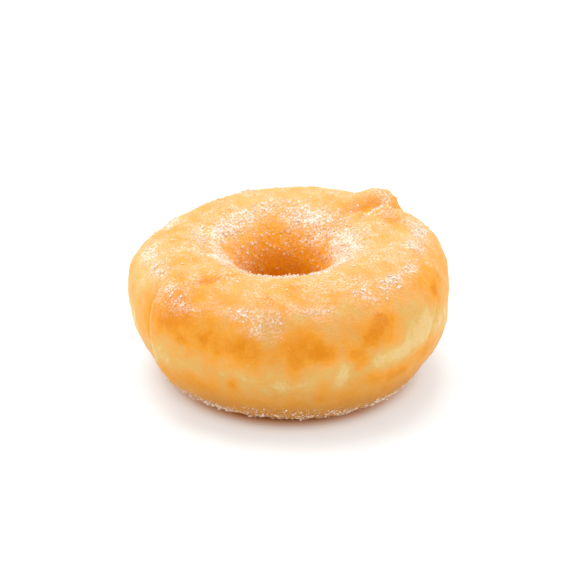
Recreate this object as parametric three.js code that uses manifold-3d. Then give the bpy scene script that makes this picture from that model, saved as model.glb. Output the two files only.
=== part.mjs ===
// A sugared ring doughnut: one fried ring of dough, uneven all round and lapped where the dough was
// rolled, with the largest of its sugar crystals stuck to the crust.
//
// Millimetres, +Z up. The origin is on the table, below the middle of the ring, and -Y is the front.
// An "around" angle turns about +Z from +X. A "section" angle turns about the ring's middle line:
// 0 at the girth, 90 on the crest, 180 in the hole and 270 underneath. All angles are in degrees.

import * as THREE from "three";
import { mergeVertices } from "three/addons/utils/BufferGeometryUtils.js";
import Module from "manifold-3d";

// Driving dimensions of the even ring
const GIRTH_RADIUS = 44;
const GIRTH_HEIGHT = 22;
const CREST_RADIUS = 28;
const CREST_HEIGHT = 39.4;
const HOLE_RADIUS = 10.5;
const HOLE_OFF_CENTRE = 2; // towards -X
const BASE_RADIUS = 22;
const BASE_SINK = 1.5; // how far the soft base is pressed flat by its own weight
const ROUNDNESS = { shoulder: 2.35, funnel: 2.05, under: 2 }; // 2 is an ellipse, more is squarer

// Long swells of the whole ring: how many there are in one turn, and where one of them is highest
const SWELLS = [
  { count: 1, around: 0, radius: 0, height: 0.8 },
  { count: 3, around: 75, radius: 0.4, height: 0.3 },
];

// Lumps and hollows in the dough, each centred on two angles, with its half spans as angles too
const LUMPS = [
  { what: "knob at the seam", around: 46, section: 56, wide: 8, tall: 22, rise: 2 },
  { what: "corner of the flap", around: 27, section: 66, wide: 8, tall: 16, rise: 0.4 },
  { what: "right swelling", around: 16, section: 40, wide: 16, tall: 34, rise: 1.4 },
  { what: "right tuck", around: 335, section: -32, wide: 14, tall: 22, rise: -0.6 },
  { what: "right shoulder", around: 322, section: 56, wide: 14, tall: 24, rise: 0.6 },
  { what: "right bulge", around: 303, section: 20, wide: 8, tall: 26, rise: 0.9 },
  { what: "front dent", around: 292, section: 0, wide: 5, tall: 20, rise: -0.8 },
  { what: "front right bulge", around: 281, section: 14, wide: 9, tall: 22, rise: 1 },
  { what: "front valley", around: 266, section: 36, wide: 6, tall: 20, rise: -0.9 },
  { what: "front left bulge", around: 253, section: 12, wide: 8, tall: 22, rise: 0.9 },
  { what: "front left corner", around: 228, section: 34, wide: 13, tall: 24, rise: 0.9 },
  { what: "left tuck", around: 198, section: -25, wide: 14, tall: 25, rise: -1.3 },
  { what: "left shoulder", around: 182, section: 32, wide: 12, tall: 17, rise: 1.2 },
  { what: "slack left shoulder", around: 154, section: 54, wide: 17, tall: 32, rise: -0.4 },
  { what: "back left bulge", around: 160, section: 4, wide: 9, tall: 28, rise: 0.8 },
  { what: "back dent", around: 128, section: 8, wide: 6, tall: 24, rise: -0.8 },
  { what: "back bulge", around: 108, section: 16, wide: 10, tall: 26, rise: 0.9 },
  { what: "back right dent", around: 84, section: 2, wide: 6, tall: 22, rise: -0.7 },
  { what: "back right bulge", around: 68, section: 10, wide: 8, tall: 24, rise: 0.6 },
  { what: "lump in the hole", around: 120, section: 150, wide: 30, tall: 26, rise: 0.7 },
  { what: "hollow in the hole", around: 310, section: 165, wide: 34, tall: 30, rise: -0.7 },
];

// Laps in the dough: a lip that stands up on one side of a line and drops over its "edge" into a groove.
// The line leans by "lean" degrees around for each degree of section, and the lip is on "side".
const LAPS = [
  { what: "left", around: 216, section: 6, lean: -0.07, side: 1,
    edge: 3, fade: 14, tall: 44, rise: 1.5, groove: 0.8 },
  { what: "right", around: 334, section: 24, lean: 0.4, side: -1,
    edge: 3, fade: 10, tall: 30, rise: 0.8, groove: 0.6 },
  { what: "seam", around: 48, section: 76, lean: 0.12, side: 1,
    edge: 9, fade: 7, tall: 30, rise: 1.8, groove: 1.2 },
  { what: "fold by the hole", around: 238, section: 86, lean: 0.37, side: 1,
    edge: 5, fade: 12, tall: 20, rise: 0.8, groove: 1 },
];
const LAP_GROOVE = 3; // half the width of a groove, in degrees around

// Where sugar clings, as a density from 0 to 1
const SUGAR_PATCHES = [
  { what: "rim of the hole", section: 128, tall: 26, density: 1 },
  { what: "foot of the side", section: 308, tall: 9, density: 0.7 },
  { what: "front streak", around: 254, section: 43, wide: 16, tall: 10, density: 1 },
  { what: "front left corner", around: 226, section: 40, wide: 8, tall: 12, density: 1 },
  { what: "top of the left lap", around: 200, section: 52, wide: 10, tall: 14, density: 0.7 },
  { what: "right shoulder", around: 316, section: 58, wide: 18, tall: 14, density: 0.8 },
  { what: "back right shoulder", around: 10, section: 64, wide: 14, tall: 18, density: 0.8 },
  { what: "seam", around: 34, section: 76, wide: 6, tall: 22, density: 1 },
  { what: "back", around: 110, section: 58, wide: 30, tall: 14, density: 0.5 },
];
const CRYSTAL = { count: 124, smallest: 0.9, largest: 1.4, proud: 0.15, apart: 1.8, seed: 5 };

const MESH = { around: 96, section: 40 };
const NORMAL_STEP = 0.5; // degrees of section either side of a point, to find which way is outwards

const radians = THREE.MathUtils.degToRad;
const wrap = (angle) => THREE.MathUtils.euclideanModulo(angle + 180, 360) - 180;
const bell = (distance, span) => Math.exp(-((distance / span) ** 2));
const power = (value, roundness) => Math.sign(value) * Math.abs(value) ** (2 / roundness);

// The section of the even ring, as a radius and a height.
function plainSection(around, section) {
  const across = Math.cos(radians(section));
  const up = Math.sin(radians(section));
  const swell = { radius: 0, height: 0 };
  for (const { count, around: peak, radius, height } of SWELLS) {
    const share = Math.cos(count * radians(around - peak));
    swell.radius += radius * share;
    swell.height += height * share;
  }
  const outside = GIRTH_RADIUS + swell.radius;
  const hole = HOLE_RADIUS - HOLE_OFF_CENTRE * Math.cos(radians(around));
  const middle = up >= 0 ? CREST_RADIUS : BASE_RADIUS;
  const half = across >= 0 ? outside - middle : middle - hole;
  const rise = up >= 0 ? CREST_HEIGHT + swell.height - GIRTH_HEIGHT : GIRTH_HEIGHT + BASE_SINK;
  const top = across >= 0 ? ROUNDNESS.shoulder : ROUNDNESS.funnel;
  const roundness = up >= 0 ? top : ROUNDNESS.under;
  const radius = middle + half * power(across, roundness);
  const height = GIRTH_HEIGHT + rise * power(up, roundness);
  return new THREE.Vector2(radius, height);
}

// How far a lap lifts or sinks the crust.
function lapRelief(lap, around, section) {
  const along = wrap(section - lap.section);
  const past = wrap(around - lap.around - lap.lean * along) * lap.side;
  const lip = THREE.MathUtils.smoothstep(past, -lap.edge, 0) * (past > 0 ? bell(past, lap.fade) : 1);
  const groove = bell(past + lap.edge, LAP_GROOVE);
  return (lap.rise * lip - lap.groove * groove) * Math.exp(-((along / lap.tall) ** 4));
}

// How far all the lumps and laps lift or sink the crust.
function relief(around, section) {
  let height = 0;
  for (const lump of LUMPS) {
    const shape = bell(wrap(around - lump.around), lump.wide) * bell(wrap(section - lump.section), lump.tall);
    height += lump.rise * shape;
  }
  for (const lap of LAPS) height += lapRelief(lap, around, section);
  return height;
}

// A point of the crust, and the direction out of it.
function crust(around, section) {
  const along = plainSection(around, section + NORMAL_STEP).sub(plainSection(around, section - NORMAL_STEP));
  const out = new THREE.Vector2(along.y, -along.x).normalize();
  const point = plainSection(around, section).addScaledVector(out, relief(around, section));
  const [cos, sin] = [Math.cos(radians(around)), Math.sin(radians(around))];
  return {
    place: new THREE.Vector3(point.x * cos, point.x * sin, Math.max(point.y, 0)),
    out: new THREE.Vector3(out.x * cos, out.x * sin, out.y),
  };
}

// The ring of dough: a torus whose points are moved to the crust, with its base on the table.
function doughRing() {
  const ring = new THREE.TorusGeometry(CREST_RADIUS, CREST_HEIGHT / 2, MESH.section, MESH.around);
  const { position, uv } = ring.attributes;
  for (let i = 0; i < position.count; i++) {
    const { place } = crust((uv.getX(i) % 1) * 360, (uv.getY(i) % 1) * 360);
    position.setXYZ(i, place.x, place.y, place.z);
  }
  return ring;
}

function sugarDensity(around, section) {
  let density = 0;
  for (const patch of SUGAR_PATCHES) {
    const across = patch.wide ? bell(wrap(around - patch.around), patch.wide) : 1;
    density = Math.max(density, patch.density * across * bell(wrap(section - patch.section), patch.tall));
  }
  return density;
}

// The sugar crystals: blocks sunk to their middles in the crust, turned every way, where sugar clings.
// A wide part of the ring has more crust to cling to than a narrow one, so the draw is weighted by radius.
function sugarCrystals() {
  const draw = THREE.MathUtils.seededRandom;
  draw(CRYSTAL.seed);
  const crystals = [];
  const places = [];
  while (crystals.length < CRYSTAL.count) {
    const around = draw() * 360;
    const section = draw() * 360;
    const { place, out } = crust(around, section);
    const chance = (sugarDensity(around, section) * Math.hypot(place.x, place.y)) / GIRTH_RADIUS;
    const crowded = places.some((other) => other.distanceTo(place) < CRYSTAL.apart);
    if (draw() > chance || crowded || place.z < CRYSTAL.largest) continue;
    places.push(place);
    const size = THREE.MathUtils.lerp(CRYSTAL.smallest, CRYSTAL.largest, draw());
    const block = new THREE.BoxGeometry(size, size * 0.8, size * 0.7);
    const turn = new THREE.Euler(draw() * 3, draw() * 3, draw() * 3);
    block.applyQuaternion(new THREE.Quaternion().setFromEuler(turn));
    const middle = place.clone().addScaledVector(out, CRYSTAL.proud);
    crystals.push(block.translate(middle.x, middle.y, middle.z));
  }
  return crystals;
}

const wasm = await Module();
wasm.setup();

function solidOf(geometry) {
  const bare = geometry.clone().deleteAttribute("normal").deleteAttribute("uv");
  const merged = mergeVertices(bare);
  return new wasm.Manifold(
    new wasm.Mesh({
      numProp: 3,
      vertProperties: merged.attributes.position.array,
      triVerts: new Uint32Array(merged.index.array),
    }),
  );
}

function geometryOf(solid) {
  const { vertProperties, triVerts } = solid.getMesh();
  const geometry = new THREE.BufferGeometry();
  geometry.setAttribute("position", new THREE.BufferAttribute(vertProperties, 3));
  geometry.setIndex(new THREE.BufferAttribute(triVerts, 1));
  geometry.computeVertexNormals();
  return geometry;
}

const crustMaterial = new THREE.MeshStandardMaterial({ color: 0xefae5c, roughness: 0.5, metalness: 0 });

const sugared = sugarCrystals().reduce((solid, block) => solid.add(solidOf(block)), solidOf(doughRing()));
const doughnut = new THREE.Mesh(geometryOf(sugared), crustMaterial);
doughnut.name = "doughnut";

const part = new THREE.Group();
part.add(doughnut);

export default part;
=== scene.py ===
"""A sugared ring doughnut on a pale floor: a browned, lapped crust and the sugar that sticks to it.

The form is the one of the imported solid, in millimetres until it is put into the scene's metres.
An "around" angle turns about +Z from +X, with the front at 270. A "section" angle turns about the
ring's middle line: 0 at the girth, 90 on the crest, 180 in the hole and -90 underneath. Half the span of
a patch is "wide" around and "tall" in section. All angles in the tables are in degrees.
A layer of noise is given by the size of its lumps in millimetres, its strength and its seed.
"""

import math

import bmesh
import bpy
import numpy as np
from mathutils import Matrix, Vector, noise


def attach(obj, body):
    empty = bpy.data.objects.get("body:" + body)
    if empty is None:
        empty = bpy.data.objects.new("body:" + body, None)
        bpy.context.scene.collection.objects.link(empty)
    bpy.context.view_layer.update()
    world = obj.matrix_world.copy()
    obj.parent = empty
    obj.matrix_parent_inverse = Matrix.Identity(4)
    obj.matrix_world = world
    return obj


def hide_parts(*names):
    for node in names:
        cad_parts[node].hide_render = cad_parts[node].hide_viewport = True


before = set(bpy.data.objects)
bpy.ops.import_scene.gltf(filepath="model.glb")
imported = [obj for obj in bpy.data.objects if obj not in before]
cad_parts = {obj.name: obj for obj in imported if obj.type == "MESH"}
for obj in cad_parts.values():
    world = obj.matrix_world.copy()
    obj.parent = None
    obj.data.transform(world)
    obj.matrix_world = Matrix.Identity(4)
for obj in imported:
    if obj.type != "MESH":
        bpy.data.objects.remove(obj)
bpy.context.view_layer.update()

MM = 0.001

# The even ring
GIRTH_RADIUS = 44.0
GIRTH_HEIGHT = 22.0
CREST_RADIUS = 28.0
CREST_HEIGHT = 39.4
HOLE_RADIUS = 10.5
HOLE_OFF_CENTRE = 2.0  # towards -X
BASE_RADIUS = 22.0
BASE_SINK = 1.5  # how far the soft base is pressed flat by its own weight

# How square the section is: 2 is an ellipse, and more is squarer
SHOULDER_ROUNDNESS = 2.35
FUNNEL_ROUNDNESS = 2.05
UNDER_ROUNDNESS = 2.0

# Long swells of the ring: how many in a turn, where one is highest, and what it adds
SWELLS = [
    dict(count=1, around=0, radius=0.0, height=0.8),
    dict(count=3, around=75, radius=0.4, height=0.3),
]

# Lumps and hollows of the dough
LUMPS = [
    dict(what="knob at the seam", around=46, section=56, wide=8, tall=22, rise=2.0),
    dict(what="corner of the flap", around=27, section=66, wide=8, tall=16, rise=0.4),
    dict(what="right swelling", around=16, section=40, wide=16, tall=34, rise=1.4),
    dict(what="right tuck", around=335, section=-32, wide=14, tall=22, rise=-0.6),
    dict(what="right shoulder", around=322, section=56, wide=14, tall=24, rise=0.6),
    dict(what="right bulge", around=303, section=20, wide=8, tall=26, rise=0.9),
    dict(what="front dent", around=292, section=0, wide=5, tall=20, rise=-0.8),
    dict(what="front right bulge", around=281, section=14, wide=9, tall=22, rise=1.0),
    dict(what="front valley", around=266, section=36, wide=6, tall=20, rise=-0.9),
    dict(what="front left bulge", around=253, section=12, wide=8, tall=22, rise=0.9),
    dict(what="front left corner", around=228, section=34, wide=13, tall=24, rise=0.9),
    dict(what="left tuck", around=198, section=-25, wide=14, tall=25, rise=-1.3),
    dict(what="left shoulder", around=182, section=32, wide=12, tall=17, rise=1.2),
    dict(what="slack left shoulder", around=154, section=54, wide=17, tall=32, rise=-0.4),
    dict(what="back left bulge", around=160, section=4, wide=9, tall=28, rise=0.8),
    dict(what="back dent", around=128, section=8, wide=6, tall=24, rise=-0.8),
    dict(what="back bulge", around=108, section=16, wide=10, tall=26, rise=0.9),
    dict(what="back right dent", around=84, section=2, wide=6, tall=22, rise=-0.7),
    dict(what="back right bulge", around=68, section=10, wide=8, tall=24, rise=0.6),
    dict(what="lump in the hole", around=120, section=150, wide=30, tall=26, rise=0.7),
    dict(what="hollow in the hole", around=310, section=165, wide=34, tall=30, rise=-0.7),
]

# Laps: a lip stands up on one side of a leaning line and drops over its edge into a groove. About the
# section "line", as far as "reach", the edge is cut sharp, with painted shade at its foot ("dark") and a
# painted highlight along its lip ("pale")
LAPS = [
    dict(what="left", around=216, section=6, lean=-0.07, side=1, edge=3, fade=14, tall=44,
         rise=1.5, groove=0.8, line=12, reach=33, sharp=1.4, dark=0.36, pale=0.5),
    dict(what="right", around=334, section=24, lean=0.4, side=-1, edge=3, fade=10, tall=30,
         rise=0.8, groove=0.6, line=38, reach=11, sharp=1.0, dark=0.36, pale=0.4),
    dict(what="seam", around=48, section=76, lean=0.12, side=1, edge=9, fade=7, tall=30,
         rise=1.8, groove=1.2, line=76, reach=22, sharp=0.3, dark=0.0, pale=0.0),
    dict(what="fold by the hole", around=238, section=86, lean=0.37, side=1, edge=5, fade=12, tall=20,
         rise=0.8, groove=1.0, line=88, reach=14, sharp=0.0, dark=0.0, pale=0.0),
]
LAP_GROOVE = 3.0
LAP_WAVER = [(5.0, 0.7, 4)]

# What follows the edge of a lap, by its degrees past the foot of the edge
EDGE_CUT = dict(past=1.2, span=1.0)
EDGE_LIP = dict(past=3.6, span=1.4)
EDGE_LIP_RISE = 0.25
# painted shade at the foot of the edge, and a painted highlight along its lip
EDGE_PAINTED_SHADE = dict(past=0.2, span=1.8)
EDGE_PAINTED_HIGHLIGHT = dict(past=3.3, span=1.1)

# The torn flap in front of the seam: a ragged lip that fades towards the front, with a crack behind it
FLAP = dict(around=35.5, section=84, lean=-0.26, tall=21)
FLAP_RAGGED = [(2.0, 1.0, 18)]
FLAP_LIP = dict(rise=0.9, drops=(-1.0, 0.8), fade=6.0)
FLAP_CRACK = dict(depth=0.7, behind=2.4, span=1.8)

# The wrinkles of the skin, and the places where it is torn and craggy
WRINKLES = [(7.0, 0.32, 1), (3.0, 0.20, 2), (1.4, 0.08, 3)]
TORN_SKIN = [
    dict(what="flap", around=40, section=70, wide=6, tall=22, layers=[(2.2, 0.6, 5), (1.1, 0.5, 14)]),
    dict(what="knob", around=46, section=52, wide=8, tall=16, layers=[(2.6, 0.9, 18), (1.3, 0.7, 19)]),
]

# Small pits that burst bubbles left in the skin, and a crease low on the right
PITS = [
    dict(around=231, section=12, wide=1.6, tall=4.0, rise=-0.45),
    dict(around=238, section=18, wide=1.3, tall=3.0, rise=-0.35),
    dict(around=250, section=-13, wide=1.2, tall=2.5, rise=-0.3),
    dict(around=287, section=15, wide=1.8, tall=3.5, rise=-0.35),
    dict(around=300, section=17, wide=1.6, tall=3.5, rise=-0.45),
    dict(around=334, section=44, wide=1.5, tall=4.0, rise=-0.4),
    dict(around=323, section=-6, wide=10.0, tall=2.2, rise=-0.5),
    dict(around=152, section=22, wide=1.6, tall=4.0, rise=-0.4),
    dict(around=96, section=30, wide=1.8, tall=4.0, rise=-0.4),
    dict(around=74, section=-10, wide=1.4, tall=3.0, rise=-0.35),
    dict(around=20, section=10, wide=1.5, tall=3.5, rise=-0.4),
]

# How brown the crust is fried, as patches added to an even tone: dark blotches and pale places. A few are
# painted shade or a painted highlight instead, by the left lap and in the fold by the hole. Their outlines
# wander, and the tone is mottled all over
TONE = 0.40
DARK_BLOTCH_EDGE = 1.5  # a power above 1 keeps a dark blotch even in its middle
WANDER_AROUND = [(5.0, 2.0, 6)]
WANDER_SECTION = [(5.0, 3.0, 7)]
MOTTLE = [(11.0, 0.16, 8), (4.5, 0.18, 11)]
BLOTCHES = [
    dict(what="browned foot", section=-48, tall=30, brown=0.36),
    dict(what="front crest", around=268, section=78, wide=40, tall=22, brown=0.16),
    dict(what="browned shoulder", section=20, tall=25, brown=0.16),
    dict(what="front left blotch", around=255, section=13, wide=5, tall=14, brown=0.26),
    dict(what="round the front left blotch", around=250, section=18, wide=11, tall=16, brown=0.08),
    dict(what="front blotch", around=273, section=17, wide=6, tall=19, brown=0.24),
    dict(what="front blotch core", around=281, section=14, wide=4, tall=9, brown=0.50),
    dict(what="above the front blotch", around=272, section=43, wide=5, tall=11, brown=-0.28),
    dict(what="between the blotches", around=289, section=34, wide=4, tall=12, brown=-0.24),
    dict(what="below the front blotch", around=283, section=1, wide=4, tall=5, brown=-0.12),
    dict(what="right blotch low", around=294.5, section=5, wide=3.5, tall=10, brown=0.46),
    dict(what="right blotch core", around=299, section=20, wide=1.8, tall=4, brown=0.22),
    dict(what="right blotch tip", around=303.5, section=35, wide=1.5, tall=5, brown=0.20),
    dict(what="right blotch", around=298, section=18, wide=3.5, tall=7, brown=0.28),
    dict(what="right blotch high", around=302.5, section=31, wide=3.5, tall=11, brown=0.28),
    dict(what="right of the blotch", around=306, section=27, wide=7, tall=11, brown=0.14),
    dict(what="front left corner", around=225, section=29, wide=9, tall=16, brown=0.46),
    dict(what="top of the corner", around=222, section=56, wide=11, tall=18, brown=0.42),
    dict(what="spot by the corner", around=231, section=12, wide=2.2, tall=4.5, brown=0.30),
    dict(what="small spot by the corner", around=238.5, section=17, wide=1.8, tall=4, brown=0.26),
    # painted shade where the lobe turns away behind the corner
    dict(what="left lobe by the lap", around=211, section=10, wide=5, tall=18, brown=0.26),
    # painted highlight along the corner's edge
    dict(what="pale edge of the corner", around=221, section=-2, wide=3, tall=14, brown=-0.16),
    dict(what="left lobe", around=202, section=18, wide=5, tall=11, brown=-0.06),
    dict(what="pale top of the left lobe", around=194, section=38, wide=14, tall=22, brown=-0.36),
    dict(what="pale edge of the left lobe", around=193, section=5, wide=9, tall=13, brown=-0.38),
    dict(what="spot on the band", around=250, section=-13, wide=2.8, tall=4.5, brown=0.42),
    dict(what="below the left lap", around=228, section=-17, wide=15, tall=8, brown=0.24),
    dict(what="golden below the left blotch", around=246, section=-10, wide=9, tall=16, brown=0.20),
    dict(what="pale front", around=268, section=-14, wide=6, tall=12, brown=-0.05),
    dict(what="streak down the band", around=281, section=-16, wide=2.4, tall=10, brown=0.26),
    dict(what="pale streak", around=288, section=-9, wide=2.2, tall=8, brown=-0.26),
    dict(what="patch low on the right", around=308, section=-13, wide=10, tall=7, brown=0.40),
    dict(what="low right edge", around=325, section=-7, wide=10, tall=7, brown=0.34),
    dict(what="pale right side", around=309, section=-1, wide=9, tall=7, brown=-0.30),
    dict(what="pale above the right side", around=315, section=32, wide=5, tall=9, brown=-0.20),
    dict(what="golden patch on the right side", around=311, section=11, wide=4, tall=6, brown=0.14),
    dict(what="pale far right side", around=322, section=16, wide=9, tall=17, brown=-0.40),
    dict(what="pale beyond the right lap", around=337, section=8, wide=8, tall=12, brown=-0.28),
    dict(what="right crease", around=335, section=31, wide=3, tall=8, brown=0.44),
    dict(what="right shoulder", around=332, section=50, wide=11, tall=12, brown=0.22),
    # painted shade in the fold beside the hole
    dict(what="fold by the hole", around=230, section=84, wide=6, tall=12, brown=0.18),
    dict(what="shoulder spot", around=260, section=67, wide=5, tall=8, brown=0.30),
    dict(what="crest spot", around=275, section=84, wide=6, tall=8, brown=0.24),
    dict(what="dip right of the hole", around=303, section=86, wide=4, tall=5, brown=0.30),
    dict(what="far dip right of the hole", around=315, section=86, wide=5, tall=5, brown=0.16),
    dict(what="flap", around=23, section=83, wide=11, tall=11, brown=0.58),
    dict(what="knob", around=44, section=66, wide=8, tall=18, brown=0.14),
    dict(what="pale left of the fold", around=218, section=97, wide=6, tall=8, brown=-0.16),
    dict(what="pale right of the fold", around=247, section=83, wide=7, tall=14, brown=-0.28),
    dict(what="behind the seam", around=58, section=97, wide=16, tall=7, brown=0.20),
    dict(what="streak on the back", around=138, section=75, wide=4, tall=20, brown=0.14),
    dict(what="left crest", around=190, section=105, wide=14, tall=9, brown=0.14),
    dict(what="left top", around=200, section=78, wide=10, tall=14, brown=0.10),
    # painted shade at both ends of the fold
    dict(what="top end of the fold", around=235, section=97, wide=3, tall=8, brown=0.20),
    dict(what="low end of the fold", around=228, section=75, wide=5, tall=9, brown=0.14),
    dict(what="pale back of the top", around=100, section=78, wide=55, tall=26, brown=-0.06),
    dict(what="back blotch", around=108, section=20, wide=8, tall=15, brown=0.40),
    dict(what="back blotch low", around=117, section=6, wide=4, tall=9, brown=0.34),
    dict(what="back left blotch", around=150, section=14, wide=7, tall=16, brown=0.38),
    dict(what="back left blotch high", around=167, section=32, wide=8, tall=12, brown=0.28),
    dict(what="back right blotch", around=70, section=16, wide=7, tall=15, brown=0.38),
    dict(what="back right blotch core", around=63, section=10, wide=3, tall=8, brown=0.36),
    dict(what="spot on the back band", around=132, section=-12, wide=3, tall=5, brown=0.40),
    dict(what="patch low at the back", around=92, section=-16, wide=11, tall=7, brown=0.32),
    dict(what="far right blotch", around=12, section=12, wide=8, tall=15, brown=0.36),
    dict(what="far right blotch low", around=2, section=0, wide=4, tall=8, brown=0.30),
    dict(what="patch low on the far right", around=30, section=-14, wide=10, tall=7, brown=0.30),
]

# The pale band that stays above the fat on both turns of the frying: its middle wanders
BAND_SECTION = -5.0
BAND_TALL = 11.0
BAND_PALE = 0.28
BAND_CALM = 0.45  # how much of the mottle is missing on the band
BAND_WANDER = [dict(count=2, around=325, rise=7.0), dict(count=5, around=313, rise=4.0)]

# Upright streaks of brown on the side: the noise is drawn out in height
STREAKS = dict(size=2.8, drawn_out=(1.0, 1.0, 0.3), tall=36.0, brown=0.17, seed=12)

# Painted shade: the dough's colour darkens down its side to the base, which starts lower down, and
# lightens again up the wall of the hole, each between two angles. The base is mottled with paler dough
# where it lay in the fat
SHADE = 0.85
SHADE_BELOW_GIRTH = (-4.0, 50.0)
BASE_BELOW_GIRTH = (62.0, 84.0)
LIGHTER_IN_HOLE = (-175.0, -130.0)
BASE_PALE = 0.35
BASE_PALEST = 0.8
BASE_MOTTLE = [(7.0, 0.45, 21), (2.5, 0.35, 22)]

# The dough stays moist and orange down the hole, higher in a pinch at its back, and in the torn seam
MOIST_SECTION = 182
MOIST_FADES = (24.0, 62.0)
MOIST_EDGE = [(4.0, 7.0, 17), (1.6, 9.0, 20)]
MOIST_PINCH = dict(around=106, wide=16.0, higher=13.0)
MOIST_SEAM = dict(around=39.5, section=89, wide=3.6, tall=11.0)

# Where sugar clings, as a density from 0 to 1
SUGAR_PATCHES = [
    dict(what="dust on the top", section=88, tall=40, density=0.07),
    dict(what="rim", section=118, tall=12, density=0.30),
    dict(what="rim on the right", around=0, section=132, wide=48, tall=15, density=0.6),
    dict(what="rim at the back right", around=72, section=125, wide=20, tall=16, density=0.6),
    dict(what="rim at the back", around=112, section=111, wide=10, tall=11, density=0.75),
    dict(what="rim at the back left", around=148, section=117, wide=24, tall=12, density=0.7),
    dict(what="above the back of the hole", around=94, section=104, wide=12, tall=6, density=0.55),
    dict(what="rim on the left", around=202, section=120, wide=16, tall=14, density=0.9),
    dict(what="near lip", around=268, section=111, wide=60, tall=5, density=0.95),
    dict(what="hole wall", section=149, tall=19, density=0.32),
    dict(what="left crest", around=174, section=100, wide=26, tall=12, density=0.4),
    dict(what="left edge", around=191, section=53, wide=11, tall=9, density=0.5),
    dict(what="top of the left lap", around=203, section=54, wide=6, tall=12, density=0.7),
    dict(what="left lap", around=217, section=46, wide=4, tall=12, density=0.4),
    dict(what="front left corner", around=227, section=41, wide=8, tall=7, density=0.4),
    dict(what="streak, left end", around=241, section=51, wide=6, tall=7, density=0.32),
    dict(what="streak", around=254, section=50, wide=8, tall=7, density=0.45),
    dict(what="streak, right end", around=261, section=45, wide=5, tall=7, density=0.5),
    dict(what="front valley", around=264, section=32, wide=3, tall=8, density=0.3),
    dict(what="front shoulder", around=281, section=54, wide=8, tall=6, density=0.38),
    dict(what="right of the front", around=303, section=62, wide=6, tall=14, density=0.6),
    dict(what="right shoulder", around=316, section=62, wide=9, tall=8, density=0.8),
    dict(what="right edge", around=329, section=63, wide=7, tall=7, density=0.6),
    dict(what="right crest", around=350, section=70, wide=9, tall=9, density=0.8),
    dict(what="back right shoulder", around=8, section=65, wide=9, tall=12, density=0.9),
    dict(what="lip of the flap", around=35, section=84, wide=2, tall=19, lean=-0.26, density=0.7),
    dict(what="back shoulder", around=110, section=56, wide=26, tall=12, density=0.5),
    dict(what="back left shoulder", around=150, section=48, wide=12, tall=10, density=0.6),
    dict(what="foot", section=-49, tall=9, density=0.36),
]

# The crystals gather in clusters, with a share of them in between
SUGAR_CLUSTERS = [(4.0, 1.0, 9), (1.8, 0.5, 10)]
CLUSTER_EDGE = (-0.55, 0.45)
SUGAR_BETWEEN = 0.2

# Where a thin, uneven film of fine sugar dulls the crust
SUGAR_FILM = [
    dict(what="top", section=92, tall=44, density=0.20),
    dict(what="right rim", around=344, section=134, wide=54, tall=12.5, density=2.6),
    dict(what="back right rim", around=72, section=122, wide=24, tall=17, density=0.65),
    dict(what="right shoulder", around=325, section=60, wide=14, tall=12, density=0.22),
    dict(what="back left rim", around=140, section=114, wide=40, tall=13, density=0.60),
    dict(what="left rim", around=198, section=122, wide=22, tall=16, density=0.60),
    dict(what="left edge", around=187, section=57, wide=26, tall=13, density=0.46),
    dict(what="back left edge", around=161, section=60, wide=14, tall=15, density=0.46),
    dict(what="front left corner", around=223, section=48, wide=12, tall=20, density=0.20),
    dict(what="front shoulder", around=262, section=50, wide=30, tall=12, density=0.18),
    dict(what="front valley", around=260, section=34, wide=6, tall=8, density=0.36),
    dict(what="right of the front valley", around=272.5, section=53, wide=4.5, tall=17, density=0.36),
    dict(what="right edge", around=346, section=48, wide=6, tall=14, density=0.30),
    dict(what="flap", around=28, section=86, wide=6, tall=10, density=0.16),
    dict(what="lip of the flap", around=35, section=84, wide=1.8, tall=19, lean=-0.26, density=0.95),
    dict(what="knob", around=45, section=62, wide=6, tall=14, density=0.28),
    dict(what="slope of the seam", around=43, section=68, wide=5, tall=12, density=0.30),
    dict(what="hole wall", section=150, tall=18, density=0.22),
    dict(what="base", section=-104, tall=24, density=0.30),
    dict(what="back right wall of the hole", around=54, section=142, wide=24, tall=14, density=1.1),
    dict(what="left wall of the hole", around=160, section=160, wide=15, tall=10, density=1.5),
]

# The film lies in streaks and is thin in between. It thickens where there is most of it, and there is some
# among the crystals too. It has melted where the dough is moist, and the foot is bare of it
FILM_STREAKS = [(7.0, 1.0, 15), (2.6, 0.8, 16)]
STREAK_EDGE = (-0.5, 0.6)
FILM_BETWEEN = 0.1
FILM_IN_STREAKS = 1.3
FILM_THICKENS = 0.5
FILM_AMONG_SUGAR = 0.2
FILM_UNDER_CRYSTALS = 0.55
FILM_MELTED = 0.8
BARE_FOOT = dict(section=-50.0, tall=24.0)

# How the bits of sugar lie on the crust, as shares of their size where no unit is given
BIT_LENGTHS = (0.75, 1.0)
BIT_STRETCH = (0.75, 1.15)
BIT_PROUD = (0.0, 0.15)
BIT_SCATTER = 0.2  # millimetres
BIT_TILT = 0.22  # a slope
CLUMP_SCATTER = 0.3
CLUMP_PROUD = (0.1, 0.35)
TABLE_GAP = 0.02  # millimetres
BARE_CRUST = 0.03  # a lower density than this holds no sugar

# Sugar turns from clear to cloudy between these radii, out of the hole
CLEAR_RADIUS = 11.0
CLOUDY_RADIUS = 18.0
CLOUDY_IN_HOLE = 0.25

RING_STEPS = 440
SECTION_STEPS = 220
NORMAL_STEP = 0.5  # degrees of section either side of a point, to find which way is outwards
SEED_STEP = (17.3, 5.1, 9.7)  # how far apart two seeds lie in the noise


def wrap(angle):
    """The same angle, from -180 to 180."""
    return (angle + 180.0) % 360.0 - 180.0


def bell(distance, span):
    """1 in the middle, falling away softly over the span."""
    return np.exp(-((distance / span) ** 2))


def plateau(distance, span):
    """1 over most of the span, falling away at its end."""
    return np.exp(-((distance / span) ** 4))


def power(value, roundness):
    """A cosine or sine, bent to make the section squarer."""
    return np.sign(value) * np.abs(value) ** (2.0 / roundness)


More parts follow.
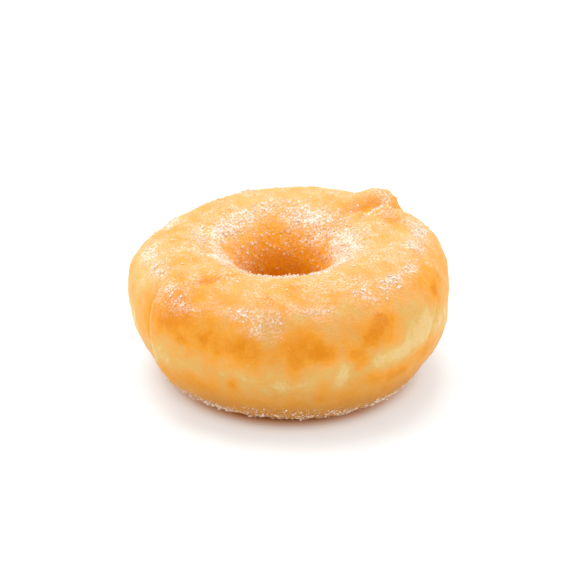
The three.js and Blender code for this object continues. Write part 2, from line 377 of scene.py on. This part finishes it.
def smooth(value, low, high):
    """0 below the span and 1 above it, eased at both ends."""
    share = np.clip((value - low) / (high - low), 0.0, 1.0)
    return share * share * (3.0 - 2.0 * share)


def noise_over(points, size, seed):
    """Soft noise from about -1 to 1 at each point, with lumps of that size in millimetres."""
    shift = Vector([seed * step for step in SEED_STEP])
    return np.array([noise.noise(Vector(point) / size + shift) for point in points])


def layered_noise(points, layers, even=0.0):
    """Layers of noise added to an even value."""
    total = np.full(len(points), even)
    for size, strength, seed in layers:
        total += strength * noise_over(points, size, seed)
    return total


def patch_over(patch, around, section):
    """A bell over the crust: all round the ring, or about one place on it."""
    along = wrap(section - patch["section"])
    shape = bell(along, patch["tall"])
    if "around" in patch:
        leaning = patch.get("lean", 0.0) * along
        shape = shape * bell(wrap(around - patch["around"] - leaning), patch["wide"])
    return shape


def blotch_over(blotch, around, section):
    """A soft pale patch, or a dark one that is even in its middle and ends in a firmer edge."""
    apart = (wrap(section - blotch["section"]) / blotch["tall"]) ** 2
    if "around" in blotch:
        apart = apart + (wrap(around - blotch["around"]) / blotch["wide"]) ** 2
    if blotch["brown"] > 0:
        apart = apart ** DARK_BLOTCH_EDGE
    return np.exp(-apart)


def plain_section(around, section):
    """Radius and height of the even ring."""
    turn = np.radians(around)
    across = np.cos(np.radians(section))
    up = np.sin(np.radians(section))
    outside = np.full_like(turn, GIRTH_RADIUS)
    crest = np.full_like(turn, CREST_HEIGHT)
    for swell in SWELLS:
        share = np.cos(swell["count"] * (turn - math.radians(swell["around"])))
        outside += swell["radius"] * share
        crest += swell["height"] * share
    hole = HOLE_RADIUS - HOLE_OFF_CENTRE * np.cos(turn)
    middle = np.where(up >= 0, CREST_RADIUS, BASE_RADIUS)
    half = np.where(across >= 0, outside - middle, middle - hole)
    rise = np.where(up >= 0, crest - GIRTH_HEIGHT, GIRTH_HEIGHT + BASE_SINK)
    top = np.where(across >= 0, SHOULDER_ROUNDNESS, FUNNEL_ROUNDNESS)
    roundness = np.where(up >= 0, top, UNDER_ROUNDNESS)
    return middle + half * power(across, roundness), GIRTH_HEIGHT + rise * power(up, roundness)


def place_on_ring(around, section, relief):
    """Points of the crust, lifted out of the even ring by the relief."""
    radius, height = plain_section(around, section)
    radius_after, height_after = plain_section(around, section + NORMAL_STEP)
    radius_before, height_before = plain_section(around, section - NORMAL_STEP)
    out = np.stack([height_after - height_before, radius_before - radius_after])
    out = out / np.linalg.norm(out, axis=0)
    radius = radius + out[0] * relief
    height = np.maximum(height + out[1] * relief, 0.0)
    turn = np.radians(around)
    return np.stack([radius * np.cos(turn), radius * np.sin(turn), height], axis=1)


def past_line(lap, around, section):
    """Degrees past the leaning line of a lap, on the side of its lip."""
    along = wrap(section - lap["section"])
    return wrap(around - lap["around"] - lap["lean"] * along) * lap["side"]


def sharp_along(lap, section):
    """How sharp the edge of a lap is: most at its middle, and gone at its ends."""
    return plateau(wrap(section - lap["line"]), lap["reach"])


def along_edge(foot, trace):
    """A trace that follows the edge of a lap, from the degrees past the edge's foot."""
    return bell(foot - trace["past"], trace["span"])


def dough_relief(around, section):
    """The lumps and laps that the solid has too."""
    relief = np.zeros_like(around)
    for lump in LUMPS:
        relief += lump["rise"] * patch_over(lump, around, section)
    for lap in LAPS:
        past = past_line(lap, around, section)
        lip = smooth(past, -lap["edge"], 0.0) * np.where(past > 0, bell(past, lap["fade"]), 1.0)
        groove = bell(past + lap["edge"], LAP_GROOVE)
        fading = plateau(wrap(section - lap["section"]), lap["tall"])
        relief += (lap["rise"] * lip - lap["groove"] * groove) * fading
    return relief


def flap_relief(around, section, points):
    """The ragged lip of the torn flap, which leans across the crest, and the crack behind it."""
    along = section - FLAP["section"]
    behind = wrap(around - FLAP["around"] - FLAP["lean"] * along) + layered_noise(points, FLAP_RAGGED)
    lip = smooth(-behind, *FLAP_LIP["drops"]) * bell(np.minimum(behind, 0.0), FLAP_LIP["fade"])
    crack = bell(behind - FLAP_CRACK["behind"], FLAP_CRACK["span"])
    return (FLAP_LIP["rise"] * lip - FLAP_CRACK["depth"] * crack) * plateau(wrap(along), FLAP["tall"])


def skin_relief(around, section, points):
    """The fine relief of the fried skin: wrinkles, pits, sharp lap edges and a torn seam."""
    relief = layered_noise(points, WRINKLES)
    for pit in PITS:
        relief += pit["rise"] * patch_over(pit, around, section)
    wavering = around + layered_noise(points, LAP_WAVER)
    for lap in LAPS:
        foot = past_line(lap, wavering, section) + lap["edge"]
        edge = EDGE_LIP_RISE * along_edge(foot, EDGE_LIP) - along_edge(foot, EDGE_CUT)
        relief += lap["sharp"] * edge * sharp_along(lap, section)
    relief += flap_relief(around, section, points)
    for torn in TORN_SKIN:
        relief += patch_over(torn, around, section) * layered_noise(points, torn["layers"])
    return relief


def browning(around, section, points):
    """How dark the crust is fried, from 0 on the pale band to 1, with painted shade and painted highlights
    at the lap edges and in a few blotches.
    """
    around = around + layered_noise(points, WANDER_AROUND)
    section = section + layered_noise(points, WANDER_SECTION)
    brown = np.full_like(around, TONE)
    for blotch in BLOTCHES:
        brown += blotch["brown"] * blotch_over(blotch, around, section)
    middle = np.full_like(around, BAND_SECTION)
    for wander in BAND_WANDER:
        middle += wander["rise"] * np.cos(wander["count"] * np.radians(around - wander["around"]))
    band = bell(wrap(section - middle), BAND_TALL)
    brown += layered_noise(points, MOTTLE) * (1.0 - BAND_CALM * band) - BAND_PALE * band
    upright = noise_over(points * STREAKS["drawn_out"], STREAKS["size"], STREAKS["seed"])
    brown += STREAKS["brown"] * bell(wrap(section), STREAKS["tall"]) * upright
    # painted shade at the foot of each lap edge, and a painted highlight along its lip
    for lap in LAPS:
        foot = past_line(lap, around, section) + lap["edge"]
        edge = lap["dark"] * along_edge(foot, EDGE_PAINTED_SHADE) - lap["pale"] * along_edge(foot, EDGE_PAINTED_HIGHLIGHT)
        brown += edge * sharp_along(lap, section)
    return np.clip(brown, 0.0, 1.0)


def paint_underside_shade(section, points):
    """How far shade is painted into the dough's colour towards its base."""
    dark = SHADE * smooth(-section, *SHADE_BELOW_GIRTH) * smooth(section, *LIGHTER_IN_HOLE)
    base = smooth(-section, *BASE_BELOW_GIRTH)
    pale = np.clip(layered_noise(points, BASE_MOTTLE, BASE_PALE), 0.0, BASE_PALEST)
    return dark * (1.0 - base * pale)


def moist_dough(around, section, points):
    """How moist and orange the dough stays, from 0 to 1."""
    pinch = MOIST_PINCH["higher"] * bell(wrap(around - MOIST_PINCH["around"]), MOIST_PINCH["wide"])
    off_middle = np.abs(wrap(section - MOIST_SECTION)) - pinch + layered_noise(points, MOIST_EDGE)
    in_hole = 1.0 - smooth(off_middle, *MOIST_FADES)
    return np.maximum(in_hole, patch_over(MOIST_SEAM, around, section))


def cover_of(patches, around, section):
    """The densest of the patches at each point."""
    cover = np.zeros_like(around)
    for patch in patches:
        cover = np.maximum(cover, patch["density"] * patch_over(patch, around, section))
    return cover


def sugar_cover(around, section, points):
    """How much sugar clings: as crystals in uneven clusters, and as the film with what lies in it."""
    clusters = smooth(layered_noise(points, SUGAR_CLUSTERS), *CLUSTER_EDGE)
    spread = cover_of(SUGAR_PATCHES, around, section)
    crystals = spread * (SUGAR_BETWEEN + (1.0 - SUGAR_BETWEEN) * clusters)
    streaks = smooth(layered_noise(points, FILM_STREAKS), *STREAK_EDGE)
    film = cover_of(SUGAR_FILM, around, section)
    film = film * (FILM_BETWEEN + FILM_IN_STREAKS * streaks + FILM_THICKENS * film)
    film = film + FILM_AMONG_SUGAR * spread + FILM_UNDER_CRYSTALS * crystals
    bare_foot = plateau(wrap(section - BARE_FOOT["section"]), BARE_FOOT["tall"])
    return crystals, film * (1.0 - bare_foot)


def point_attribute(mesh, name, values):
    mesh.attributes.new(name, "FLOAT", "POINT").data.foreach_set("value", values.astype(np.float32))


def new_piece(name, mesh):
    piece = bpy.data.objects.new(name, mesh)
    bpy.context.scene.collection.objects.link(piece)
    return piece


def spun_ring():
    """A plain ring as a mesh: a circle spun round, with its faces outwards."""
    shape = bmesh.new()
    bmesh.ops.create_circle(shape, segments=SECTION_STEPS, radius=GIRTH_HEIGHT / 2)
    for corner in shape.verts:
        corner.co = Vector((corner.co.x + CREST_RADIUS, 0.0, corner.co.y))
    bmesh.ops.spin(
        shape,
        geom=shape.verts[:] + shape.edges[:],
        cent=(0, 0, 0),
        axis=(0, 0, 1),
        angle=math.tau,
        steps=RING_STEPS,
        use_merge=True,
    )
    bmesh.ops.recalc_face_normals(shape, faces=shape.faces[:])
    mesh = bpy.data.meshes.new("crust")
    shape.to_mesh(mesh)
    shape.free()
    return mesh


def corners_of(mesh):
    corners = np.empty(len(mesh.vertices) * 3)
    mesh.vertices.foreach_get("co", corners)
    return corners.reshape(-1, 3)


def fried_crust():
    """The ring of dough, whose points are moved out to the crust, and how densely sugar clings to each."""
    mesh = spun_ring()
    x, y, z = corners_of(mesh).T
    around = np.degrees(np.arctan2(y, x)) % 360.0
    section = np.degrees(np.arctan2(z, np.hypot(x, y) - CREST_RADIUS))
    dough = dough_relief(around, section)
    points = place_on_ring(around, section, dough)
    points = place_on_ring(around, section, dough + skin_relief(around, section, points))
    mesh.vertices.foreach_set("co", (points * MM).ravel())
    moist = moist_dough(around, section, points)
    density, film = sugar_cover(around, section, points)
    point_attribute(mesh, "browned", browning(around, section, points))
    point_attribute(mesh, "moist", moist)
    # painted shade: the dough's colour darkens towards the base
    point_attribute(mesh, "painted_shade_below", paint_underside_shade(section, points))
    point_attribute(mesh, "sugared", film * (1.0 - FILM_MELTED * moist))
    mesh.shade_smooth()
    mesh.update()
    return new_piece("crust", mesh), density


def corners_and_faces(shape):
    shape.verts.index_update()
    corners = np.array([corner.co for corner in shape.verts])
    faces = [[corner.index for corner in face.verts] for face in shape.faces]
    shape.free()
    return corners, faces


def whole_crystal():
    """One crystal of sugar, a block one unit long with worn edges."""
    shape = bmesh.new()
    bmesh.ops.create_cube(shape, size=1.0)
    bmesh.ops.scale(shape, vec=(1.0, 0.85, 0.50), verts=shape.verts[:])
    bmesh.ops.bevel(
        shape,
        geom=shape.edges[:],
        offset=0.09,
        offset_type="OFFSET",
        affect="EDGES",
        segments=1,
        profile=0.5,
        material=-1,
    )
    return corners_and_faces(shape)


def broken_crystal():
    """One broken bit of sugar, a three-sided chip about one unit across."""
    shape = bmesh.new()
    bmesh.ops.create_cone(shape, cap_ends=True, segments=3, radius1=0.62, radius2=0.46, depth=0.36)
    bmesh.ops.recalc_face_normals(shape, faces=shape.faces[:])
    return corners_and_faces(shape)


# Sizes are in millimetres. "clumped" is the share of the bits that are stuck onto others, and "gathered"
# is a power above 1 where they crowd into the densest places
SUGAR_GRADES = [
    dict(
        name="sugar_crystals",
        bit=whole_crystal,
        count=3200,
        sizes=(0.36, 0.66),
        clumped=0.25,
        gathered=1.7,
        seed=21,
    ),
    dict(
        name="sugar_fines",
        bit=broken_crystal,
        count=24500,
        sizes=(0.18, 0.34),
        clumped=0.1,
        gathered=1.0,
        seed=22,
    ),
]


def crust_faces(mesh):
    """First corner, middle, outward direction and area of each face, in the same order in every run."""
    loops = np.empty(len(mesh.loops), dtype=np.int32)
    mesh.loops.foreach_get("vertex_index", loops)
    quads = loops.reshape(-1, 4)
    lowest_first = quads.argmin(axis=1)[:, None] + np.arange(4)
    quads = np.take_along_axis(quads, lowest_first % 4, axis=1)
    quads = quads[np.lexsort(quads.T[::-1])]
    corners = corners_of(mesh)[quads]
    crossed = np.cross(corners[:, 2] - corners[:, 0], corners[:, 3] - corners[:, 1])
    doubled = np.linalg.norm(crossed, axis=1)
    return quads[:, 0], corners.mean(axis=1), crossed / doubled[:, None], doubled / 2.0


def flat_turns(draw, normals):
    """Turns that lay bits on the crust, a little tilted and spun any way about its normals."""
    up = normals + BIT_TILT * draw.normal(size=normals.shape)
    up = up / np.linalg.norm(up, axis=1, keepdims=True)
    side = np.cross(up, draw.normal(size=normals.shape))
    side = side / np.linalg.norm(side, axis=1, keepdims=True)
    return np.stack([side, np.cross(up, side), up], axis=1)


def stuck_sugar(grade, crust, density):
    """Sugar of one grade as one mesh: bits on the crust where it clings, some stuck onto others."""
    draw = np.random.default_rng(grade["seed"])
    count = grade["count"]
    smallest, largest = (size * MM for size in grade["sizes"])
    firsts, centres, normals, areas = crust_faces(crust.data)
    length = draw.uniform(smallest, largest, count) * draw.uniform(*BIT_LENGTHS, count)
    local = density[firsts]
    holds_sugar = (centres[:, 2] > largest) * (local > BARE_CRUST)
    chance = areas * local ** grade["gathered"] * holds_sugar
    picked = draw.choice(len(firsts), size=count, p=chance / chance.sum())

    # The bits after the first ones are stuck onto some of those
    lead = int(count * (1.0 - grade["clumped"]))
    follow = draw.integers(0, lead, count - lead)
    picked[lead:] = picked[follow]
    places = centres[picked] + draw.normal(size=(count, 3)) * BIT_SCATTER * MM
    aside = draw.normal(size=(count - lead, 3)) * CLUMP_SCATTER * length[follow][:, None]
    places[lead:] = places[follow] + aside
    proud = draw.uniform(*BIT_PROUD, count)
    proud[lead:] += draw.uniform(*CLUMP_PROUD, count - lead)
    places = places + normals[picked] * (length * proud)[:, None]

    corners, faces = grade["bit"]()
    stretched = corners[None] * draw.uniform(*BIT_STRETCH, size=(count, 1, 3))
    bits = np.einsum("knj,kji->kni", stretched, flat_turns(draw, normals[picked]))
    bits = places[:, None] + bits * length[:, None, None]
    bits[:, :, 2] += np.maximum(TABLE_GAP * MM - bits[:, :, 2].min(axis=1), 0.0)[:, None]
    starts = np.arange(count) * len(corners)
    joined = [[start + index for index in face] for start in starts.tolist() for face in faces]
    mesh = bpy.data.meshes.new(grade["name"])
    mesh.from_pydata(bits.reshape(-1, 3).tolist(), [], joined)
    outside_hole = smooth(np.hypot(places[:, 0], places[:, 1]), CLEAR_RADIUS * MM, CLOUDY_RADIUS * MM)
    cloudy = draw.uniform(0.0, 1.0, count) * (CLOUDY_IN_HOLE + (1.0 - CLOUDY_IN_HOLE) * outside_hole)
    point_attribute(mesh, "cloudy", np.repeat(cloudy, len(corners)))
    mesh.update()
    return new_piece(grade["name"], mesh)


class Finish:
    """A new material, with short ways to add and link its nodes."""

    def __init__(self, name):
        self.material = bpy.data.materials.new(name)
        self.material.use_nodes = True
        self.tree = self.material.node_tree
        self.sockets = self.tree.nodes["Principled BSDF"].inputs

    def even(self, socket, value):
        """Sets a value that is the same all over."""
        self.sockets[socket].default_value = value

    def node(self, kind, **settings):
        made = self.tree.nodes.new(kind)
        for name, value in settings.items():
            setattr(made, name, value)
        return made

    def link(self, output, socket):
        self.tree.links.new(output, socket)

    def attribute(self, name):
        return self.node("ShaderNodeAttribute", attribute_name=name).outputs["Fac"]

    def place(self):
        """The place in the object's own space, which is the shared frame in metres."""
        return self.node("ShaderNodeTexCoord").outputs["Object"]

    def grain(self, size, detail, roughness):
        """Noise with lumps of that size in millimetres."""
        made = self.node("ShaderNodeTexNoise")
        made.inputs["Scale"].default_value = 1.0 / (size * MM)
        made.inputs["Detail"].default_value = detail
        made.inputs["Roughness"].default_value = roughness
        self.link(self.place(), made.inputs["Vector"])
        return made.outputs["Fac"]

    def work(self, operation, *values):
        made = self.node("ShaderNodeMath", operation=operation)
        for socket, value in zip(made.inputs, values):
            if isinstance(value, (int, float)):
                socket.default_value = value
            else:
                self.link(value, socket)
        return made.outputs[0]

    def span(self, value, old, new):
        """A value moved from one span to another, and kept inside it."""
        made = self.node("ShaderNodeMapRange")
        self.link(value, made.inputs["Value"])
        for name, number in zip(("From Min", "From Max", "To Min", "To Max"), (*old, *new)):
            made.inputs[name].default_value = number
        return made.outputs[0]

    def tones(self, value, stops):
        made = self.node("ShaderNodeValToRGB")
        ramp = made.color_ramp
        while len(ramp.elements) < len(stops):
            ramp.elements.new(0.5)
        for element, (position, colour) in zip(ramp.elements, stops):
            element.position = position
            element.color = (*colour, 1.0)
        self.link(value, made.inputs["Fac"])
        return made.outputs["Color"]

    def mix(self, share, first, second):
        made = self.node("ShaderNodeMix", data_type="RGBA")
        self.link(share, made.inputs["Factor"])
        # The colour sockets go by number, as sockets of other kinds have the same names
        for socket, value in zip((made.inputs[6], made.inputs[7]), (first, second)):
            if isinstance(value, tuple):
                socket.default_value = (*value, 1.0)
            else:
                self.link(value, socket)
        return made.outputs[2]

    def bump(self, height, distance, strength):
        made = self.node("ShaderNodeBump")
        made.inputs["Distance"].default_value = distance
        made.inputs["Strength"].default_value = strength
        self.link(height, made.inputs["Height"])
        self.link(made.outputs["Normal"], self.sockets["Normal"])


CREAM = (0.85, 0.58, 0.235)
PALE_DOUGH = (0.81, 0.475, 0.122)
GOLDEN = (0.89, 0.42, 0.088)
ORANGE = (0.93, 0.375, 0.03)
BROWN = (0.85, 0.29, 0.007)
MOIST = (0.97, 0.385, 0.002)
# painted shade for the lower side of the dough
UNDERSIDE_PAINTED_SHADE = (0.51, 0.22, 0.036)
SUGAR_DUST = (1.0, 0.86, 0.74)
THICK_SUGAR = (1.0, 0.94, 0.88)
CLEAR_SUGAR = (1.0, 0.62, 0.26)
MILKY_SUGAR = (1.0, 0.83, 0.66)
CLOUDY_SUGAR = (1.0, 0.95, 0.89)
WHITE_FLOOR = (0.80, 0.83, 0.86)
# a painted warm shadow on the floor by the foot
PAINTED_WARM_SHADOW = (0.85, 0.42, 0.10)
NO_GLOW = (0.0, 0.0, 0.0)

# Colours placed by how brown the crust is, how thick its sugar dust is, and how cloudy a crystal is
CRUST_TONES = [(0.0, CREAM), (0.2, PALE_DOUGH), (0.42, GOLDEN), (0.66, ORANGE), (0.92, BROWN)]
DUST_TONES = [(0.5, SUGAR_DUST), (0.9, THICK_SUGAR)]
SUGAR_TONES = [(0.0, CLEAR_SUGAR), (0.35, MILKY_SUGAR), (1.0, CLOUDY_SUGAR)]

# Most of a shader's noise lies in the first span, and grains of dust show where it rises over the second
NOISE_SPAN = (0.3, 0.7)
DUST_SPAN = (0.45, 0.62)
DUST_IN_GRAINS = 1.6
DUST_BETWEEN = 0.18
DUST_MOST = 0.92
DUST_DULLS = 0.25
DUST_STANDS_PROUD = 0.3
SUGAR_REFRACTION = 1.54


def crust_finish():
    """Fried dough: tones by how brown it is, painted shade towards the base, a greasy satin skin with fine
    pores, and sugar dust.
    """
    made = Finish("fried_crust")
    mottle = made.span(made.grain(2.5, detail=4.0, roughness=0.6), NOISE_SPAN, (-0.10, 0.10))
    speckle = made.span(made.grain(0.6, detail=2.0, roughness=0.5), NOISE_SPAN, (-0.08, 0.08))
    brown = made.work("ADD", made.work("ADD", made.attribute("browned"), mottle), speckle)
    # painted shade: the dough's colour darkens towards the base
    dough = made.mix(made.attribute("painted_shade_below"), made.tones(brown, CRUST_TONES), UNDERSIDE_PAINTED_SHADE)
    dough = made.mix(made.attribute("moist"), dough, MOIST)
    grains = made.span(made.grain(0.6, detail=1.0, roughness=0.5), DUST_SPAN, (0.0, 1.0))
    uneven = made.work("MULTIPLY_ADD", grains, DUST_IN_GRAINS, DUST_BETWEEN)
    dust = made.work("MULTIPLY", made.attribute("sugared"), uneven)
    dust = made.work("MINIMUM", dust, DUST_MOST)
    made.link(made.mix(dust, dough, made.tones(dust, DUST_TONES)), made.sockets["Base Color"])
    greasy = made.span(made.grain(6.0, detail=3.0, roughness=0.6), NOISE_SPAN, (0.36, 0.54))
    dulled = made.work("ADD", greasy, made.work("MULTIPLY", dust, DUST_DULLS))
    made.link(dulled, made.sockets["Roughness"])
    pores = made.grain(1.6, detail=5.0, roughness=0.65)
    proud = made.work("MULTIPLY", grains, DUST_STANDS_PROUD)
    made.bump(made.work("ADD", pores, proud), distance=0.4 * MM, strength=0.6)
    made.even("Subsurface Weight", 0.3)
    made.even("Subsurface Radius", (1.0, 0.5, 0.2))
    made.even("Subsurface Scale", 3.0 * MM)
    made.even("Specular IOR Level", 0.1)
    return made.material


def sugar_finish():
    """Granulated sugar: clear to cloudy crystals that take a little warmth from the crust below."""
    made = Finish("sugar")
    flaws = made.span(made.grain(0.5, detail=2.0, roughness=0.5), NOISE_SPAN, (-0.2, 0.2))
    cloud = made.work("ADD", made.attribute("cloudy"), flaws)
    made.link(made.tones(cloud, SUGAR_TONES), made.sockets["Base Color"])
    made.link(made.span(cloud, (0.0, 1.0), (0.12, 0.35)), made.sockets["Roughness"])
    made.even("IOR", SUGAR_REFRACTION)
    return made.material


crust, density = fried_crust()
crust.data.materials.append(crust_finish())
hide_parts("doughnut")
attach(crust, "root")

sugar = sugar_finish()
for grade in SUGAR_GRADES:
    piece = stuck_sugar(grade, crust, density)
    piece.data.materials.append(sugar)
    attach(piece, "root")


# The floor of a white studio. Its colour holds a painted warm shadow close to the foot, and it glows a
# little away from it and in the hole, painted light that lifts its shadow, in rings that are placed by
# their radius as a share of the reach
FLOOR_SIZE = 6.0
FLOOR_REACH = 50.0 * MM
FLOOR_RINGS = [(0.32, WHITE_FLOOR), (0.48, PAINTED_WARM_SHADOW), (0.62, PAINTED_WARM_SHADOW), (0.70, WHITE_FLOOR)]
PAINTED_FLOOR_GLOW = [
    (0.10, (0.50, 0.46, 0.43)),
    (0.24, NO_GLOW),
    (0.61, NO_GLOW),
    (0.66, (0.375, 0.286, 0.221)),
    (0.74, (0.92, 0.91, 0.885)),
    (0.77, (0.90, 0.97, 1.0)),
]
PAINTED_FLOOR_GLOW_STRENGTH = 0.33


def studio_floor():
    shape = bmesh.new()
    bmesh.ops.create_grid(shape, x_segments=1, y_segments=1, size=FLOOR_SIZE)
    mesh = bpy.data.meshes.new("floor")
    shape.to_mesh(mesh)
    shape.free()
    finish = Finish("floor")
    from_middle = finish.node("ShaderNodeVectorMath", operation="LENGTH")
    finish.link(finish.place(), from_middle.inputs[0])
    across = finish.span(from_middle.outputs["Value"], (0.0, FLOOR_REACH), (0.0, 1.0))
    # painted warm shadow in the floor's colour, and painted light as its glow
    finish.link(finish.tones(across, FLOOR_RINGS), finish.sockets["Base Color"])
    finish.link(finish.tones(across, PAINTED_FLOOR_GLOW), finish.sockets["Emission Color"])
    finish.even("Emission Strength", PAINTED_FLOOR_GLOW_STRENGTH)
    finish.even("Roughness", 0.6)
    finish.even("Specular IOR Level", 0.2)
    mesh.materials.append(finish.material)
    floor = new_piece("floor", mesh)


# What the lights and the camera look at
MIDDLE = Vector((0.0, 0.0, 0.02))
WORLD_STRENGTH = 0.68


def facing(thing, place, target):
    """Puts a light or the camera at a place, turned to its target."""
    thing.location = place
    thing.rotation_mode = "QUATERNION"
    thing.rotation_quaternion = (target - thing.location).to_track_quat("-Z", "Y")
    bpy.context.scene.collection.objects.link(thing)


def soft_box(name, place, width, watts):
    """A soft area light that faces the doughnut."""
    data = bpy.data.lights.new(name, "AREA")
    data.shape = "DISK"
    data.size = width
    data.energy = watts
    facing(bpy.data.objects.new(name, data), place, MIDDLE)


def white_world():
    world = bpy.data.worlds.new("studio")
    world.use_nodes = True
    background = world.node_tree.nodes["Background"].inputs
    background["Color"].default_value = (1.0, 1.0, 1.0, 1.0)
    background["Strength"].default_value = WORLD_STRENGTH
    bpy.context.scene.world = world


studio_floor()
white_world()
soft_box("overhead", (-0.12, 0.3, 1.0), 0.9, 6.8)
soft_box("left", (-0.8, 0.0, 0.4), 0.6, 1.3)
soft_box("right", (0.8, 0.0, 0.4), 0.6, 1.3)
bpy.context.scene.view_settings.view_transform = "Standard"

# The camera looks down a little at the front, with the doughnut just below the middle of the picture
CAMERA_DOWN = math.radians(27.5)
CAMERA_DISTANCE = 0.6
CAMERA_LENS = 137.2
CAMERA_SENSOR = 36.0
AIM_LEFT = 0.00133
AIM_UP = 0.00428
away = Vector((0.0, -math.cos(CAMERA_DOWN), math.sin(CAMERA_DOWN)))
up = Vector((0.0, math.sin(CAMERA_DOWN), math.cos(CAMERA_DOWN)))
lens = bpy.data.cameras.new("camera")
lens.sensor_width = CAMERA_SENSOR
lens.lens = CAMERA_LENS
camera = bpy.data.objects.new("camera", lens)
facing(camera, MIDDLE + away * CAMERA_DISTANCE, MIDDLE - Vector((AIM_LEFT, 0.0, 0.0)) + up * AIM_UP)
bpy.context.scene.camera = camera
